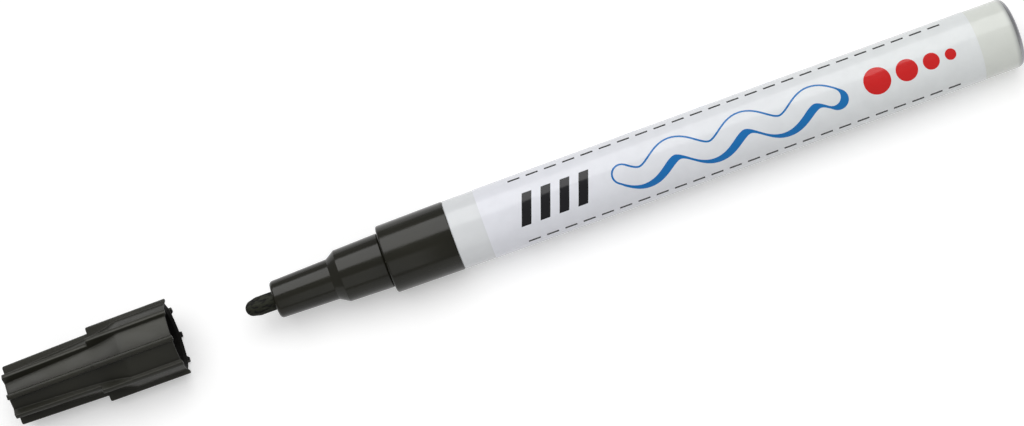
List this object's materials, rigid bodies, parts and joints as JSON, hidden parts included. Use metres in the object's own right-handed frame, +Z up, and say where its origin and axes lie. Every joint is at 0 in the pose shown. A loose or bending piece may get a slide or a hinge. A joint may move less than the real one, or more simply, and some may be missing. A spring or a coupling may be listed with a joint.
{
  "type": "paint marker",
  "caption": "Slim valve-action paint marker: wrapped aluminium barrel, stepped black nose, bullet nib that presses in to open a valve, and a ribbed black cap pulled off in line.",
  "frame": {"origin": "Middle of the length, under the pen's axis, on the surface that the marker and its cap lie on.", "axes": "+X along the pen from the nib to the closed rear end, +Z up from the table, +Y away from the viewer. At rest the cap is off, in line in front of the nib."},
  "size_m": [0.1766, 0.0124, 0.0124],
  "materials": {
    "can_aluminium": "satin drawn aluminium",
    "film_white": "printed white film, satin",
    "section_black": "moulded black, satin gloss",
    "cap_black": "moulded black, satin gloss",
    "nib_fibre": "black pressed fibre",
    "valve_white": "natural moulded plastic",
    "seal_rubber": "matte",
    "spring_steel": "drawn wire",
    "ball_steel": "polished",
    "liner_natural": "natural soft plastic"
  },
  "bodies": {
    "marker": {"barrel_can": "can_aluminium", "label_film": "film_white", "front_section": "section_black", "spigot_seal": "seal_rubber", "valve_body": "valve_white", "valve_seat": "seal_rubber", "valve_retainer": "valve_white", "valve_spring": "spring_steel"},
    "cap": {"cap_shell": "cap_black", "cap_liner": "liner_natural"},
    "nib": {"nib": "nib_fibre"},
    "valve_stem": {"valve_stem": "valve_white"},
    "agitator_ball": {"agitator_ball": "ball_steel"}
  },
  "joints": [
    {"name": "cap_slide", "type": "slide", "parent": "marker", "child": "cap", "axis": [1, 0, 0], "range_m": [0, 0.03711]},
    {"name": "nib_press", "type": "slide", "parent": "marker", "child": "nib", "axis": [1, 0, 0], "range_m": [0, 0.002], "stiffness_N_per_m": 600},
    {"name": "valve_open", "type": "slide", "parent": "marker", "child": "valve_stem", "axis": [1, 0, 0], "range_m": [0, 0.002], "deforming": ["valve_spring"]},
    {"name": "ball_run", "type": "slide", "parent": "marker", "child": "agitator_ball", "axis": [1, 0, 0], "range_m": [-0.047, 0.0288]}
  ],
  "couplings": [
    {"joint": "valve_open", "follows": "nib_press", "ratio": 1}
  ]
}
